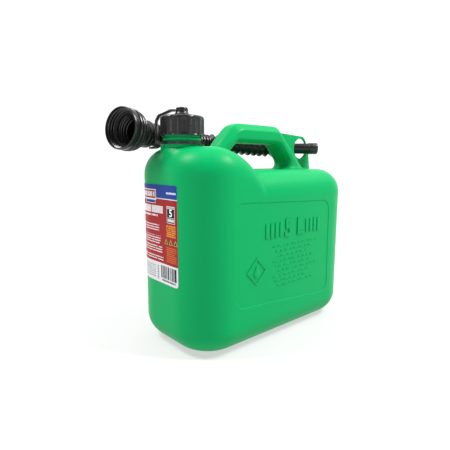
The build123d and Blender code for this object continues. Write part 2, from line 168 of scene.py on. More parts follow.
def plug_in(tree, shader, colour, rough, height=None, bump=0.2, depth=0.001):
    """Feeds colour, roughness and a height for bump to the shader."""
    tree.links.new(colour.socket, shader.inputs["Base Color"])
    tree.links.new(rough.socket, shader.inputs["Roughness"])
    if height is not None:
        lift = height.node("ShaderNodeBump", Strength=bump, Distance=depth, Height=height)
        tree.links.new(lift.socket, shader.inputs["Normal"])


def green_plastic():
    """Blow-moulded polyethylene: mid green, waxy, with a faint orange peel and cloudy colour."""
    finish, tree, shader, place = finish_of("green_polyethylene", specular=0.08)
    cloud = place.noise(9.0, 2.0)
    fleck = place.noise(900.0, 2.0)
    colour = cloud.tint((0.0005, 0.325, 0.092), (0.001, 0.362, 0.106))
    colour = (fleck * 0.10).tint(colour, (0.01, 0.32, 0.10))
    rough = 0.33 + 0.07 * place.noise(22.0, 3.0) + 0.03 * fleck
    height = place.noise(260.0, 3.0) * 0.5 + place.noise(1400.0, 2.0) * 0.35
    plug_in(tree, shader, colour, rough, height, bump=0.12, depth=0.0006)
    return finish


def black_plastic(name="black_polyethylene", tone=0.006, gloss=0.22):
    """Moulded black plastic: near black, satin, with fine mould grain and light scuffs."""
    finish, tree, shader, place = finish_of(name, specular=0.42)
    scuff = place.noise(160.0, 4.0, 0.6, (1.0, 1.0, 0.25))
    colour = scuff.tint((tone, tone, tone * 1.05), (tone * 2.2, tone * 2.2, tone * 2.4))
    rough = gloss + 0.14 * scuff
    height = place.noise(1200.0, 3.0) * 0.6 + scuff * 0.3
    plug_in(tree, shader, colour, rough, height, bump=0.14, depth=0.0004)
    return finish


def soft_rubber():
    """Matt black sealing rubber with a dusty bloom."""
    finish, tree, shader, place = finish_of("sealing_rubber", specular=0.35)
    bloom = place.noise(220.0, 4.0, 0.6)
    colour = bloom.tint((0.016, 0.016, 0.016), (0.034, 0.033, 0.032))
    plug_in(tree, shader, colour, 0.62 + 0.2 * bloom, place.noise(900.0, 3.0), bump=0.2, depth=0.0004)
    return finish


# --- modelling --------------------------------------------------------------------------------------------
def settle():
    """Back to object mode with nothing selected."""
    if bpy.context.mode != "OBJECT":
        bpy.ops.object.mode_set(mode="OBJECT")
    bpy.ops.object.select_all(action="DESELECT")


def choose(obj):
    settle()
    obj.select_set(True)
    bpy.context.view_layer.objects.active = obj


def edit(obj, mode="EDGE"):
    """Opens obj alone in edit mode, with nothing selected."""
    choose(obj)
    bpy.ops.object.mode_set(mode="EDIT")
    bpy.ops.mesh.select_mode(type=mode)
    bpy.ops.mesh.select_all(action="DESELECT")


def pick_edges(obj, test):
    """Selects the edges whose middle, direction and angle between their faces pass the test; millimetres."""
    shape = bmesh.from_edit_mesh(obj.data)
    for edge in shape.edges:
        a, b = (v.co / MM for v in edge.verts)
        edge.select_set(bool(test((a + b) / 2, (b - a).normalized(), edge.calc_face_angle(0.0))))
    bmesh.update_edit_mesh(obj.data)


def pick_faces(obj, test):
    """Selects the faces whose middle and normal pass the test; millimetres."""
    shape = bmesh.from_edit_mesh(obj.data)
    for face in shape.faces:
        face.select_set(bool(test(face.calc_center_median() / MM, face.normal)))
    bmesh.update_edit_mesh(obj.data)


def round_off(radius, steps):
    """Rounds the selected edges."""
    bpy.ops.mesh.bevel(offset_type="OFFSET", offset=radius * MM, segments=steps, affect="EDGES",
                       clamp_overlap=False)


def face_outwards():
    bpy.ops.mesh.select_all(action="SELECT")
    bpy.ops.mesh.normals_make_consistent(inside=False)


def slice_across(place, across):
    """Adds a ring of edges across the whole shape, in edit mode, at this many millimetres along it."""
    bpy.ops.mesh.select_all(action="SELECT")
    bpy.ops.mesh.bisect(plane_co=[part * place * MM for part in across], plane_no=across)


def block(name, low, high):
    """A block between two corners, in millimetres, with its place in its mesh."""
    settle()
    middle = [(a + b) / 2 * MM for a, b in zip(low, high)]
    bpy.ops.mesh.primitive_cube_add(size=1.0, location=middle)
    obj = bpy.context.object
    obj.name = obj.data.name = name
    obj.scale = [(b - a) * MM for a, b in zip(low, high)]
    bpy.ops.object.transform_apply(location=True, rotation=True, scale=True)
    return obj


def cut_block(name, outline, half):
    """A plate of a convex side view, cut from a block with one bisection for each side of its outline."""
    xs, zs = [p[0] for p in outline], [p[1] for p in outline]
    obj = block(name, (min(xs), -half, min(zs)), (max(xs), half, max(zs)))
    middle = Vector((sum(xs) / len(xs), 0, sum(zs) / len(zs)))
    edit(obj)
    for (ax, az), (bx, bz) in zip(outline, (*outline[1:], outline[0])):
        a, along = Vector((ax, 0, az)), Vector((bx - ax, 0, bz - az)).normalized()
        if abs(along.x) < 1e-4 or abs(along.z) < 1e-4:
            continue
        outward = Vector((along.z, 0, -along.x))
        if outward.dot(a - middle) < 0:
            outward = -outward
        bpy.ops.mesh.select_all(action="SELECT")
        bpy.ops.mesh.bisect(plane_co=a * MM, plane_no=outward, use_fill=True, clear_outer=True)
    bpy.ops.mesh.select_all(action="SELECT")
    bpy.ops.mesh.remove_doubles(threshold=1e-6)
    settle()
    return obj


def round_profile(obj, radius, steps, test=lambda middle: True):
    """Rounds the corners of a plate's side view, each to the same radius."""
    edit(obj)
    corners = []
    shape = bmesh.from_edit_mesh(obj.data)
    for edge in shape.edges:
        a, b = (v.co / MM for v in edge.verts)
        turn = edge.calc_face_angle(0.0)
        if abs((b - a).normalized().y) > 0.99 and turn > 0.05 and test((a + b) / 2):
            corners.append(((a + b) / 2, turn))
    for place, turn in corners:
        pick_edges(obj, lambda m, d, angle: (m - place).length < 0.01 and abs(d.y) > 0.99)
        round_off(radius * tan(turn / 2), steps)
    settle()


def modify(obj, kind, **settings):
    """Adds a modifier and applies it."""
    choose(obj)
    made = obj.modifiers.new(kind.lower(), kind)
    for key, value in settings.items():
        setattr(made, key, value)
    bpy.ops.object.modifier_apply(modifier=made.name)


def combine(obj, other, how):
    """Joins or cuts two closed shapes; the other one is used up."""
    modify(obj, "BOOLEAN", object=other, operation=how, solver="MANIFOLD")
    settle()
    bpy.data.objects.remove(other)


def gather(name, pieces):
    """Several pieces as one object."""
    settle()
    for piece in pieces:
        piece.select_set(True)
    bpy.context.view_layer.objects.active = pieces[0]
    bpy.ops.object.join()
    obj = bpy.context.object
    obj.name = obj.data.name = name
    return obj


def turned(name, profile, sides, place=None):
    """A turned shape: a ring of profile's first radius, extruded and resized from ring to ring.

    The profile is (radius, height) in millimetres. It ends where it starts, or starts and ends at radius 0,
    which closes the shape at a point. place is the matrix that puts it where it belongs.
    """
    settle()
    radius, height = max(profile[0][0], POINT_R), profile[0][1]
    bpy.ops.mesh.primitive_circle_add(
        vertices=sides, radius=radius * MM, location=(0, 0, height * MM))
    obj = bpy.context.object
    obj.name = obj.data.name = name
    bpy.ops.object.transform_apply(location=True)
    bpy.ops.object.mode_set(mode="EDIT")
    bpy.ops.mesh.select_mode(type="EDGE")
    bpy.ops.mesh.select_all(action="SELECT")
    for r, z in profile[1:]:
        r = max(r, POINT_R)
        bpy.ops.mesh.extrude_edges_move(TRANSFORM_OT_translate={"value": (0, 0, (z - height) * MM)})
        if r != radius:
            bpy.ops.transform.resize(value=(r / radius, r / radius, 1.0), center_override=(0, 0, z * MM))
        radius, height = r, z
    bpy.ops.mesh.select_all(action="SELECT")
    bpy.ops.mesh.remove_doubles(threshold=4 * POINT_R * MM)
    face_outwards()
    settle()
    if place is not None:
        obj.data.transform(place)
        obj.data.update()
    return obj


def reshape(obj, move):
    """Moves every point by a rule, in millimetres."""
    for vertex in obj.data.vertices:
        vertex.co = Vector(move(vertex.co / MM)) * MM
    obj.data.update()


def ease(low, high, value):
    """A smooth step: 0 up to low and 1 from high."""
    t = min(max((value - low) / (high - low), 0.0), 1.0)
    return t * t * (3 - 2 * t)


def near(full, none, distance):
    """1 within full of a place, down to 0 at none and beyond."""
    return 1 - ease(full, none, abs(distance))


def axes(origin, along, side):
    """The matrix that stands a shape made round Z on origin, its Z along one way and its X to that side."""
    z = Vector(along).normalized()
    x = (Vector(side) - z * z.dot(Vector(side))).normalized()
    return Matrix.Translation(Vector(origin) * MM) @ Matrix((x, z.cross(x), z)).transposed().to_4x4()


def finished(obj, body, finish, replaced=(), angle=40.0):
    """Paints a finished piece, smooths its curved faces and hangs it on its body."""
    choose(obj)
    bpy.ops.object.shade_smooth_by_angle(angle=radians(angle))
    paint(obj, finish)
    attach(obj, body)
    if replaced:
        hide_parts(*replaced)
    settle()


def paint(obj, finish):
    obj.data.materials.clear()
    obj.data.materials.append(finish)


GREEN = green_plastic()
BLACK = black_plastic()
RUBBER = soft_rubber()
HOSE_BLACK = black_plastic("hose_polyethylene", 0.008, 0.26)

for finish, nodes in (
    (GREEN, ("tank", "front_label")),
    (BLACK, ("cap", "strap_eyelet", "cap_strap", "neck_ring", "spout_bell", "spout_hose", "spout_tip")),
    (RUBBER, ("cap_gasket", "spout_seal")),
):
    for node in nodes:
        paint(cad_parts[node], finish)


# --- tank -------------------------------------------------------------------------------------------------
def roll_top(x):
    """The height of the shoulder's top along the can."""
    if x < ROLL_X:
        return SHOULDER_Z
    along = x - ROLL_X
    arc = sqrt(ROLL_R**2 - min(along, ROLL_REACH) ** 2)
    return SHOULDER_Z - ROLL_R + arc - max(along - ROLL_REACH, 0) * 0.5


def make_deck():
    deck = block("deck", (-HALF_LENGTH, -HALF_WIDTH, 0), (HALF_LENGTH, HALF_WIDTH, DECK_Z))
    edit(deck)
    pick_edges(deck, lambda m, d, angle: abs(d.z) > 0.9)
    round_off(CORNER_R, 24)
    for level, radius in ((DECK_Z, DECK_R), (0.0, BASE_R)):
        pick_edges(deck, lambda m, d, angle: abs(m.z - level) < 0.01 and abs(d.z) < 0.01)
        round_off(radius, 16)
    settle()
    return deck


def make_shoulder():
    """A rounded block over the front of the deck, its top lowered along the roll."""
    low, high = (-HALF_LENGTH, -HALF_WIDTH, SHOULDER_FOOT), (SHOULDER_END_X, HALF_WIDTH, SHOULDER_Z)
    shoulder = block("shoulder", low, high)
    edit(shoulder)
    pick_edges(shoulder, lambda m, d, angle: abs(d.z) > 0.9)
    round_off(CORNER_R, 24)
    pick_edges(shoulder, lambda m, d, angle: m.z > SHOULDER_Z - 0.01 and angle > radians(60))
    round_off(SHOULDER_R, 16)
    for n in range(44):
        slice_across(ROLL_X + 1 + 1.6 * n, (1, 0, 0))
    settle()

    def lowered(p):
        share = min(1, (p.z - SHOULDER_FOOT) / (SHOULDER_Z - SHOULDER_R - SHOULDER_FOOT))
        return p.x, p.y, p.z - (SHOULDER_Z - roll_top(p.x)) * share
    reshape(shoulder, lowered)
    return shoulder


def make_handle():
    """A plate of the handle's side view with bevelled edges, and the grip cut out of it with flared sides."""
    outline = ((-93, HANDLE_FOOT), (-31, 240), (40, 240), (92.5, 189), (92.5, HANDLE_FOOT))
    handle = cut_block("handle", outline, HANDLE_HALF)
    round_profile(handle, 20.0, 8, lambda m: m.z > DECK_Z + 2 and m.x < 0)
    round_profile(handle, 14.0, 8, lambda m: m.z > DECK_Z + 2 and m.x > 0 and m.z > 230)
    edit(handle)
    pick_edges(handle, lambda m, d, angle: (
        abs(abs(m.y) - HANDLE_HALF) < 0.01 and angle > 1 and m.z > HANDLE_FOOT + 0.5))
    round_off(7.5, 1)
    settle()
    opening = ((-51, 180), (-51, 198.5), (-31.5, 218), (37.5, 218), (59, 196.5), (52, 180))
    grip = cut_block("grip", opening, GRIP_HALF)
    round_profile(grip, 8.0, 6, lambda m: m.z > DECK_Z + 2)
    edit(grip, "FACE")
    for side in (-1, 1):
        pick_faces(grip, lambda m, n: n.y * side > 0.9)
        bpy.ops.mesh.extrude_region_move(TRANSFORM_OT_translate={"value": (0, side * 6.0 * MM, 0)})
        bpy.ops.transform.resize(value=(1.11, 1.0, 1.32), center_override=(2 * MM, 0, 199 * MM))
    face_outwards()
    settle()
    combine(handle, grip, "DIFFERENCE")
    return handle


def neck_foot():
    profile = ((0, 190), (23.5, 190), (23.0, 205), (19.6, 209.5), (18.3, 213.4), (0, 213.4))
    return turned("neck_foot", profile, 64, ON_NECK)


def soften(obj, rounds, weight):
    """Relaxes the skin; weight is how much at a place, 0 to 1."""
    group = obj.vertex_groups.new(name="soft")
    for vertex in obj.data.vertices:
        share = weight(vertex.co / MM)
        if share > 0:
            group.add([vertex.index], share, "REPLACE")
    modify(obj, "SMOOTH", factor=0.5, iterations=rounds, vertex_group="soft")
    obj.vertex_groups.remove(obj.vertex_groups["soft"])


def root_weight(p):
    """Where the handle, the fin and the neck grow out of the tank."""
    slim = near(17, 27, p.y)
    front = near(12, 24, (p.x + 62) * 0.42 + (p.z - 205) * 0.9) * near(14, 26, p.x + 62)
    inner = near(8, 15, p.z - DECK_Z) * near(10, 18, p.x + 49)
    rear = near(9, 17, p.z - DECK_Z) * near(22, 34, p.x - 75)
    roll = near(6, 14, p.z - DECK_Z) * near(6, 16, p.x + 38)
    neck = near(27, 34, hypot(p.x - NECK_X, p.y)) * ease(196, 203, p.z)
    return max(slim * max(front, inner, rear), roll, neck)


def threaded(wall_r, depth, start, turns):
    """A rule that lifts a thread off a round wall, inwards where depth is negative."""
    def move(p):
        radius, angle = hypot(p.x, p.y), atan2(p.y, p.x) % (2 * pi)
        if abs(radius - wall_r) > 0.1:
            return p
        lift = 0.0
        for turn in (0, 1):
            along = angle / (2 * pi) + turn
            ends = ease(0, THREAD_RUN_OUT, along) * (1 - ease(turns - THREAD_RUN_OUT, turns, along))
            lift = max(lift, near(THREAD_CREST, THREAD_FOOT, p.z - start - THREAD_PITCH * along) * ends)
        scale = (wall_r + depth * lift) / radius
        return p.x * scale, p.y * scale, p.z
    return move


def make_neck():
    """The neck with its bead and thread."""
    climb = [(NECK_R, 222.0 + 0.5 * n) for n in range(32)]
    neck = turned("neck", (
        (NECK_BORE, 203), (NECK_R, 203), (NECK_R, 217.6), (19.2, 217.9), (19.7, 218.4), (19.7, 220.2),
        (19.2, 220.7), (NECK_R, 221.0), *climb, (NECK_R, 238.2), (17.8, 238.9), (16.1, 238.9),
        (NECK_BORE, 238.4), (NECK_BORE, 203)), 96)
    reshape(neck, threaded(NECK_R, NECK_THREAD_DEPTH, NECK_THREAD_Z, NECK_THREAD_TURNS))
    neck.data.transform(ON_NECK)
    return neck


def make_lug(angle):
    """One of the two lugs that hold the tether's ring under the bead."""
    lug = block("lug", (NECK_R - 2, -2.5, 206), (22.4, 2.5, 213.6))
    edit(lug)
    pick_edges(lug, lambda m, d, angle: m.x > 20)
    round_off(0.8, 3)
    settle()
    lug.data.transform(ON_NECK @ Matrix.Rotation(radians(angle), 4, "Z"))
    return lug


def make_fin():
    """The pinched tail fin, with the hole that holds the spout's tip."""
    outline = ((68, 178), (44, 234), (103, 230.5), (112.5, 213.5), (117, 186), (118, 178))
    fin = cut_block("fin", outline, FIN_HALF)
    round_profile(fin, 9.0, 8, lambda m: m.x > 95 and m.z > 222)
    across = ((0, -5), (FIN_HOLE_R, -5), (FIN_HOLE_R, 5), (0, 5))
    combine(fin, turned("hole", across, 72, axes(HOLE_CENTRE, (0, 1, 0), (1, 0, 0))), "DIFFERENCE")
    modify(fin, "BEVEL", width=0.75 * MM, segments=3, limit_method="ANGLE", angle_limit=radians(55))
    return fin


def make_sunk_panel():
    """The shape cut from the wide side: a thin plate whose edge slopes out to the wall."""
    sunk = cut_block("sunk_panel", PANEL, HALF_WIDTH)
    round_profile(sunk, 12.0, 8)
    edit(sunk, "FACE")
    pick_faces(sunk, lambda m, n: n.y > 0.9)
    bpy.ops.transform.translate(value=(0, (PANEL_DEPTH - 2 * HALF_WIDTH) * MM, 0))
    settle()

    def flared(p):
        if p.y > -HALF_WIDTH + PANEL_DEPTH / 2:
            return p
        return p.x * 1.012, p.y - 0.5, 100 + (p.z - 100) * 1.016
    reshape(sunk, flared)
    return sunk


def make_tank():
    skin = gather("tank_skin", [make_deck(), make_shoulder(), make_handle(), neck_foot()])
    modify(skin, "REMESH", mode="VOXEL", voxel_size=0.00165, adaptivity=0.0)
    soften(skin, 5, lambda p: 1.0)
    soften(skin, 46, root_weight)
    well = ((0, 190), (NECK_BORE, 190), (NECK_BORE, 225), (0, 225))
    combine(skin, turned("well", well, 96, ON_NECK), "DIFFERENCE")
    combine(skin, make_sunk_panel(), "DIFFERENCE")
    for piece in (make_neck(), make_fin(), make_lug(-38), make_lug(142)):
        combine(skin, piece, "UNION")
    finished(skin, "can", GREEN, ("tank",), 30)


make_tank()


# --- routes and bends -------------------------------------------------------------------------------------
def rounded_route(points, radius):
    """A line with rounded corners: its length, and a rule from a distance to its place and heading."""
    runs, here = [], Vector(points[0])
    for n in range(1, len(points)):
        corner = Vector(points[n])
        heading = (corner - Vector(points[n - 1])).normalized()
        if n == len(points) - 1:
            runs.append(("run", (corner - here).length, here, heading, None))
            break
        leaving = (Vector(points[n + 1]) - corner).normalized()
        turn = heading.angle(leaving)
        reach = radius * tan(turn / 2)
        foot = corner - heading * reach
        runs.append(("run", (foot - here).length, here, heading, None))
        side = (leaving - heading * heading.dot(leaving)).normalized()
        runs.append(("bend", radius * turn, foot, heading, side))
        here = corner + leaving * reach

    def at(distance):
        left = distance
        for kind, length, foot, heading, side in runs:
            if left <= length or runs[-1][2] is foot:
                if kind == "run":
                    return foot + heading * left, heading
                turn = left / radius
                return (foot + heading * radius * sin(turn) + side * radius * (1 - cos(turn)),
                        heading * cos(turn) + side * sin(turn))
            left -= length

    return sum(run[1] for run in runs), at


def follow(obj, at, steady):
    """Bends a shape made along Z onto a route; steady is the side that its X keeps to."""
    def move(p):
        place, heading = at(p.z)
        x = (steady - heading * heading.dot(steady)).normalized()
        return place + x * p.x + heading.cross(x) * p.y
    reshape(obj, move)


# --- label ------------------------------------------------------------------------------------------------
def wall(arc, out):
    """A place on the front wall: its distance round the wall from the middle, and how far it stands out."""
    side, flat = (1 if arc > 0 else -1), HALF_WIDTH - CORNER_R
    if abs(arc) <= flat:
        return -HALF_LENGTH - out, arc
    turn, radius = (abs(arc) - flat) / CORNER_R, CORNER_R + out
    return -HALF_LENGTH + CORNER_R - radius * cos(turn), side * (flat + radius * sin(turn))


def wrap(p, out):
    """Lays a flat shape's point on the front wall."""
    return *wall(-p.x, out + p.z), p.y


def printed_label():
    """Printed film: a blue band, a red field and a pale foot, with plain bars where a label has its words."""
    finish, tree, shader, place = finish_of("printed_film", specular=0.12)
    uv = Wire(tree, tree.nodes.new("ShaderNodeUVMap").outputs[0])
    x, y = uv.part(0), uv.part(1)

    def area(x0, x1, y0, y1):
        """A rectangle, in millimetres round the wall and up it."""
        return (x > x0 / 100) * (x < x1 / 100) * (y > y0 / 100) * (y < y1 / 100)

    def words(x0, x1, y0, y1, pitch, share=0.5, size=2.6, gap=0.42, seed=0.0):
        """Rows of word-like dashes."""
        climb = (y - y0 / 100) * (100 / pitch)
        row, line = climb.maths("FLOOR", climb), (climb % 1.0) < share
        spot = x.node("ShaderNodeCombineXYZ", X=x * (100.0 / size), Y=row * 7.31 + seed, Z=0.5)
        word = x.node("ShaderNodeTexNoise", Vector=spot, Scale=1.0, Detail=1.0, Roughness=0.4) > gap
        letter = ((x * (100.0 / 0.62)) % 1.0) < 0.78
        return area(x0, x1, y0, y1) * line * word * letter

    cloud = place.noise(60.0, 2.0)
    colour = cloud.tint((0.60, 0.61, 0.63), (0.66, 0.67, 0.69))
    red, blue = (0.31, 0.012, 0.014), (0.008, 0.040, 0.24)
    white, black = (0.70, 0.71, 0.73), (0.006, 0.006, 0.007)
    orange, amber = (0.52, 0.12, 0.018), (0.66, 0.28, 0.025)
    colour = area(-46, 28, 93.2, 159.6).tint(colour, (cloud * 0.4).tint(red, (0.25, 0.014, 0.017)))
    colour = area(-46, 28, 160.5, 174).tint(colour, (cloud * 0.4).tint(blue, (0.016, 0.06, 0.29)))
    colour = area(-40, -8.5, 158.4, 169.0).tint(colour, white)
    colour = area(-39, -9.5, 159.6, 168.0).tint(colour, red)
    colour = words(-38, -11, 161.2, 166.6, 5.4, 0.99, 3.2, 0.40).tint(colour, white)
    colour = area(-30, -9.8, 154.6, 158.4).tint(colour, white)
    colour = area(-29.4, -10.4, 155.1, 158.0).tint(colour, blue)
    colour = words(10, 26.5, 165.2, 167.0, 1.9, 0.95, 1.4, 0.32).tint(colour, white)
    colour = words(-44, 3.8, 145.0, 152.6, 7.8, 0.97, 2.6, 0.36, 3.0).tint(colour, white)
    colour = words(-44, -6, 141.4, 143.4, 2.1, 0.9, 1.6, 0.36, 5.0).tint(colour, white)
    paragraphs = ((126.6, 133.2, -4.0), (113.2, 121.4, -1.5), (104.2, 110.8, 1.0), (96.2, 101.0, 3.0))
    for low, high, end in paragraphs:
        colour = words(-44, end, low, high, 2.6, 0.42, 1.9, 0.36, low).tint(colour, white)
    colour = area(11, 24.4, 136.4, 153.4).tint(colour, white)
    colour = area(11.5, 23.9, 142.0, 150.9).tint(colour, black)
    colour = area(11.5, 23.9, 136.9, 141.6).tint(colour, black)
    colour = words(12.2, 23.2, 138.0, 140.8, 3.0, 0.94, 2.0, 0.28, 9.0).tint(colour, white)
    colour = area(11.5, 23.9, 151.3, 152.9).tint(colour, (0.3, 0.3, 0.31))
    colour = words(9.5, 25.5, 122.6, 134.6, 2.05, 0.72, 2.4, 0.34, 11.0).tint(colour, amber)
    colour = words(9.2, 26.0, 96.4, 112.6, 2.05, 0.66, 2.4, 0.32, 13.0).tint(colour, orange)
    for middle in (9.0, 17.0, 25.0):
        # Three plain triangles, each with a smaller dark one inside its edge.
        lift = (y - 1.146) * 100
        for edge, ink in ((0.0, (0.36, 0.36, 0.06)), (0.9, black)):
            sides = abs(x * 100 - middle) * 1.85 < 5.8 - edge * 1.9 - lift
            inside = sides * (lift > edge * 0.75)
            colour = inside.tint(colour, ink)
    colour = words(-44, -12, 76.0, 90.6, 2.4, 0.45, 1.9, 0.40, 17.0).tint(colour, (0.12, 0.12, 0.13))
    colour = words(-9.0, -6.0, 75.0, 90.0, 1.7, 0.6, 3.0, 0.3, 19.0).tint(colour, black)
    bar_place = x.node("ShaderNodeCombineXYZ", X=x * 150.0, Y=0.3, Z=0.1)
    bars = x.node("ShaderNodeTexNoise", Vector=bar_place, Scale=1.0, Detail=2.0, Roughness=0.9) > 0.47
    colour = (area(-2, 25.6, 77.6, 91.0) * bars).tint(colour, black)
    colour = words(0, 24, 74.6, 76.8, 2.3, 0.8, 1.3, 0.3, 23.0).tint(colour, black)
    rough = 0.42 + 0.08 * place.noise(300.0, 3.0)
    plug_in(tree, shader, colour, rough, place.noise(700.0, 2.0), bump=0.04, depth=0.0003)
    return finish


def make_label():
    settle()
    bpy.ops.mesh.primitive_plane_add(size=1.0)
    label = bpy.context.object
    label.name = label.data.name = "label_film"
    width, height = LABEL_ARC[1] - LABEL_ARC[0], LABEL_Z[1] - LABEL_Z[0]
    label.scale = (width * MM, height * MM, 1)
    bpy.ops.object.transform_apply(location=True, rotation=True, scale=True)
    middle = (-(LABEL_ARC[0] + LABEL_ARC[1]) / 2, sum(LABEL_Z) / 2)
    label.data.transform(Matrix.Translation((middle[0] * MM, middle[1] * MM, 0)))
    edit(label, "VERT")
    bpy.ops.mesh.select_all(action="SELECT")
    bpy.ops.mesh.bevel(offset=3.5 * MM, segments=5, affect="VERTICES")
    strips = 37
    for n in range(1, strips):
        slice_across(-LABEL_ARC[1] + width * n / strips, (1, 0, 0))
    settle()
    layer = label.data.uv_layers.active
    for loop in label.data.loops:
        co = label.data.vertices[loop.vertex_index].co / MM
        layer.data[loop.index].uv = (co.x / 100, co.y / 100)
    reshape(label, lambda p: wrap(p, 0.06))
    modify(label, "SOLIDIFY", thickness=0.24 * MM, offset=1.0)
    finished(label, "can", printed_label(), ("front_label",))


def lettering(words, size, depth):
    """Plain numerals and letters, lying in the XY plane and centred, as a closed mesh."""
    settle()
    bpy.ops.object.text_add()
    obj = bpy.context.object
    obj.data.body, obj.data.size = words, size * MM
    obj.data.align_x, obj.data.align_y = "CENTER", "CENTER"
    obj.data.extrude, obj.data.offset = depth / 2 * MM, 0.02 * size * MM
    obj.data.resolution_u = 6
    choose(obj)
    bpy.ops.object.convert(target="MESH")
    return bpy.context.object


def make_numeral():
    """The label's number, a film of white ink on its dark square."""
    finish, tree, shader, place = finish_of("white_ink", specular=0.12)
    colour = place.noise(90.0, 2.0).tint((0.78, 0.79, 0.81), (0.86, 0.87, 0.88))
    plug_in(tree, shader, colour, 0.34 + 0.06 * place.noise(300.0))
    numeral = lettering("5", 10.4, 0.06)
    numeral.name = numeral.data.name = "label_numeral"
    reshape(numeral, lambda p: wrap(Vector((p.x * 1.1 + 17.8, p.y + 146.4, p.z)), 0.32))
    finished(numeral, "can", finish)


make_label()
make_numeral()


# --- marks moulded in the side panel ----------------------------------------------------------------------
def stand_up(obj, x, z):
    """Turns a flat mark to face out of the side panel and puts it there at x, z."""
    place = Matrix.Translation((x * MM, -PANEL_Y * MM, z * MM))
    obj.data.transform(place @ Matrix.Rotation(radians(90), 4, "X"))
    return obj


def bar(x0, x1, z0, z1, depth):
    """An upright or level bar that stands this far out of the panel."""
    obj = block("bar", (x0, -depth, z0), (x1, 0.3, z1))
    edit(obj)
    pick_edges(obj, lambda m, d, angle: m.y < 0)
    round_off(min(0.3, depth * 0.8), 2)
    settle()
    obj.data.transform(Matrix.Translation((0, -PANEL_Y * MM, 0)))
    return obj


def drawn_out(p):
    """Draws a disc up to a narrow end, as a drop."""
    return p.x * (1 - 0.75 * ease(-1, 9, p.y * 1.9)), p.y * (1.9 if p.y > 0 else 1.0) - 2.2, p.z


def make_marks():
    """Raised marks: a large 5 L between bars, a diamond with a drop, and rows of short dashes."""
    middle = 8.5
    marks = [stand_up(lettering("5 L", 27.0, 2.2), middle, 124.4)]
    for side in (-1, 1):
        for n in range(4):
            x = middle + side * (22.5 + n * 7.4)
            marks.append(bar(x - 2.2, x + 2.2, 116.6, 132.6, 0.9))
    diamond = turned("diamond", ((12.7, -0.2), (12.7, 0.7), (14.6, 0.7), (14.6, -0.2), (12.7, -0.2)), 4)
    marks.append(stand_up(diamond, -51, 84))
    drop = turned("drop", ((0, -0.2), (4.6, -0.2), (4.6, 0.5), (4.2, 0.7), (0, 0.7)), 28)
    reshape(drop, drawn_out)
    marks.append(stand_up(drop, -51, 84))
    lengths = (5.2, 8.6, 3.4, 6.8, 10.2, 4.4, 7.4, 3.0, 9.0, 5.8, 6.4)
    count = 0
    for row in range(9):
        x, z = -26 + (row % 3) * 4.0, 106 - row * 5.6
        end = 52 - ((row * 7) % 5) * 4.0
        while x < end:
            step = min(lengths[count % len(lengths)], end - x)
            if step > 1.6:
                marks.append(bar(x, x + step, z, z + 1.7, 0.45))
            x += step + 1.7
            count += 1
    finished(gather("panel_marks", marks), "can", GREEN)


make_marks()


# --- cap and tether ---------------------------------------------------------------------------------------
def cap_point(p):
    """Twelve wide, shallow flutes down the cap's side, which run out at its top edge."""
    radius, angle = hypot(p.x, p.y), atan2(p.y, p.x)
    fade = ease(20.9, 22.2, radius) * (1 - ease(238.0, 241.6, p.z)) * ease(222.7, 224.6, p.z)
    scale = 1 - 1.25 / CAP_R * fade * (0.5 + 0.5 * cos(12 * angle)) ** 1.4
    return p.x * scale, p.y * scale, p.z


def make_cap():
    """The screw cap, hollow and threaded inside, with the post and the button that hold the eyelet."""
    side = [(CAP_R, 223.3 + 1.5 * n) for n in range(11)]
    inside = [(CAP_BORE, 240.0 - 0.5 * n) for n in range(35)]
    cap = turned("screw_cap", (
        (0, 240.5), (20.2, 240.5), *inside, (21.0, 222.6), (22.3, 222.6), *side, (CAP_R, 239.2),
        (22.5, 240.3), (22.0, 241.3), (21.2, 242.0), (20.2, 242.4), (19.0, 242.55), (17.6, 242.3),
        (16.8, 242.3), (12.0, 243.2), (8.6, 244.2), (7.0, 245.2), (6.5, 246.2), (6.4, 246.9), (6.1, 247.3),
        (5.4, 247.35), (3.1, 247.35), (3.1, 249.3), (5.4, 249.3), (6.0, 249.55), (6.1, 250.0), (5.8, 250.7),
        (4.9, 251.2), (2.5, 251.5), (0, 251.6)), 144)
    reshape(cap, threaded(CAP_BORE, -CAP_THREAD_DEPTH, CAP_THREAD_Z, CAP_THREAD_TURNS))
    reshape(cap, cap_point)
    cap.data.transform(ON_NECK)
    finished(cap, "cap", BLACK, ("cap",), 35)


def make_strap():
    """The tether: a flat band from the eyelet over the cap's rim and down to the ring."""
    length, at = rounded_route((
        (8.0, 0, 248.3), (11.4, 0, 248.3), (20.0, 0, 244.8), (24.0, 0, 243.6), (27.0, 0, 238.4),
        (27.4, 0, 215.5), (23.3, 0, 215.5)), 2.4)
    band = block("tether_band", (-0.95, -4, 0), (0.95, 4, length))
    edit(band)
    pick_edges(band, lambda m, d, angle: abs(d.z) > 0.9)
    round_off(0.45, 3)
    step = 0.8
    for n in range(1, int(length / step)):
        slice_across(step * n, (0, 0, 1))
    settle()

    def narrowed(p):
        waist = ease(8, 18, p.z) * (1 - ease(length - 14, length - 5, p.z))
        return p.x, p.y * (1 - 0.22 * waist), p.z
    reshape(band, narrowed)

    def routed(p):
        place, heading = at(p.z)
        inward = Vector((-heading.z, 0, heading.x))
        return place + inward * p.x + Vector((0, 1, 0)) * p.y
    reshape(band, routed)
    edit(band)
    face_outwards()
    settle()
    band.data.transform(ON_NECK @ Matrix.Rotation(radians(TETHER_ANGLE), 4, "Z"))
    choose(band)
    bpy.ops.object.shade_smooth_by_angle(angle=radians(40))
    paint(band, BLACK)
    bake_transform(band)
    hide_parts("cap_strap")
    settle()


make_cap()
make_strap()


